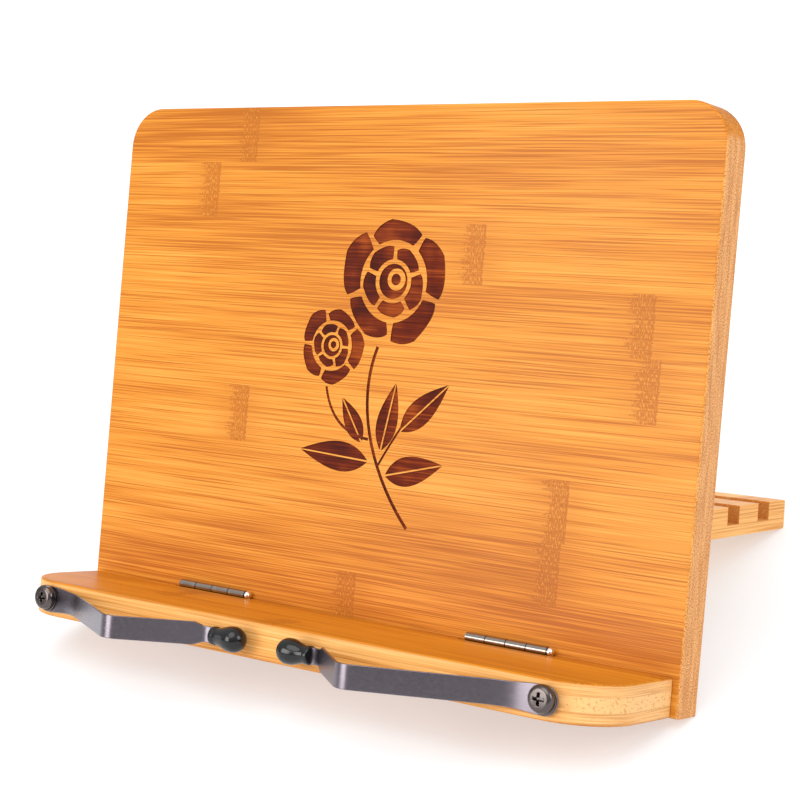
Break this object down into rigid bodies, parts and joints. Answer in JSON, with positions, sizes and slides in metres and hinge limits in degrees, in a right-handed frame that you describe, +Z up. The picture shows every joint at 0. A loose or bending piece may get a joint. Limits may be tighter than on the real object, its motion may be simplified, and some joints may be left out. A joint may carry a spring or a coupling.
{
  "type": "book display stand",
  "caption": "Folding bamboo book stand: a leaning face board with a hinged page ledge, a notched rear leg with a swinging prop, and bent spring-steel page holders with soft tips.",
  "frame": {"origin": "on the table under the middle of the bounding box of the open stand", "axes": "+X to the reader's right along the face board, +Y away from the reader to the back, +Z up"},
  "size_m": [0.3, 0.2701, 0.2157],
  "materials": {
    "face_bamboo": "satin lacquered carbonised bamboo",
    "ledge_bamboo": "satin lacquered carbonised bamboo with paler ply edges",
    "leg_bamboo": "satin lacquered bamboo",
    "dowel_wood": "plain birch",
    "hinge_nickel": "bright nickel plate",
    "zinc_screw": "zinc plate",
    "gunmetal_strip": "satin black-nickel coating",
    "black_screw": "black coated steel",
    "vinyl_tip": "glossy dipped vinyl"
  },
  "bodies": {
    "board": {"front_panel": "face_bamboo", "cleat": "leg_bamboo", "cleat_screws": "zinc_screw", "left_ledge_hinge_fixed_leaf": "hinge_nickel", "right_ledge_hinge_fixed_leaf": "hinge_nickel", "left_leg_hinge_fixed_leaf": "hinge_nickel", "right_leg_hinge_fixed_leaf": "hinge_nickel", "left_prop_hinge_fixed_leaf": "hinge_nickel", "right_prop_hinge_fixed_leaf": "hinge_nickel", "left_ledge_hinge_pin": "hinge_nickel", "right_ledge_hinge_pin": "hinge_nickel", "left_leg_hinge_pin": "hinge_nickel", "right_leg_hinge_pin": "hinge_nickel", "left_prop_hinge_pin": "hinge_nickel", "right_prop_hinge_pin": "hinge_nickel", "ledge_hinge_fixed_screws": "zinc_screw", "leg_hinge_fixed_screws": "zinc_screw", "prop_hinge_fixed_screws": "zinc_screw"},
    "ledge": {"page_ledge": "ledge_bamboo", "left_ledge_hinge_moving_leaf": "hinge_nickel", "right_ledge_hinge_moving_leaf": "hinge_nickel", "ledge_hinge_moving_screws": "zinc_screw", "left_holder_screw": "black_screw", "right_holder_screw": "black_screw", "left_holder_washer": "black_screw", "right_holder_washer": "black_screw"},
    "leg": {"left_leg_rail": "leg_bamboo", "right_leg_rail": "leg_bamboo", "rear_cross_rail": "leg_bamboo", "front_cross_rail": "leg_bamboo", "leg_dowels": "dowel_wood", "left_leg_hinge_moving_leaf": "hinge_nickel", "right_leg_hinge_moving_leaf": "hinge_nickel", "leg_hinge_moving_screws": "zinc_screw"},
    "prop": {"prop_board": "leg_bamboo", "left_prop_hinge_moving_leaf": "hinge_nickel", "right_prop_hinge_moving_leaf": "hinge_nickel", "prop_hinge_moving_screws": "zinc_screw"},
    "left_holder": {"left_holder_arm": "gunmetal_strip", "left_holder_tip": "vinyl_tip"},
    "right_holder": {"right_holder_arm": "gunmetal_strip", "right_holder_tip": "vinyl_tip"}
  },
  "joints": [
    {"name": "ledge_fold", "type": "hinge", "parent": "board", "child": "ledge", "pos_m": [0, -0.05447, 0.02076], "axis": [-1, 0, 0], "range_deg": [0, 90]},
    {"name": "leg_fold", "type": "hinge", "parent": "board", "child": "leg", "pos_m": [0, -0.00766, 0.05768], "axis": [1, 0, 0], "range_deg": [0, 87]},
    {"name": "prop_fold", "type": "hinge", "parent": "board", "child": "prop", "pos_m": [0, 0.0028, 0.12096], "axis": [1, 0, 0], "range_deg": [0, 134.62]},
    {"name": "left_holder_swing", "type": "hinge", "parent": "ledge", "child": "left_holder", "pos_m": [-0.125, -0.10318, 0.0294], "axis": [0, -0.9386, 0.3449], "range_deg": [0, 180]},
    {"name": "right_holder_swing", "type": "hinge", "parent": "ledge", "child": "right_holder", "pos_m": [0.125, -0.10318, 0.0294], "axis": [0, 0.9386, -0.3449], "range_deg": [0, 180]}
  ],
  "couplings": [
    {"joint": "prop_fold", "follows": "leg_fold", "ratio": 1.5473}
  ]
}
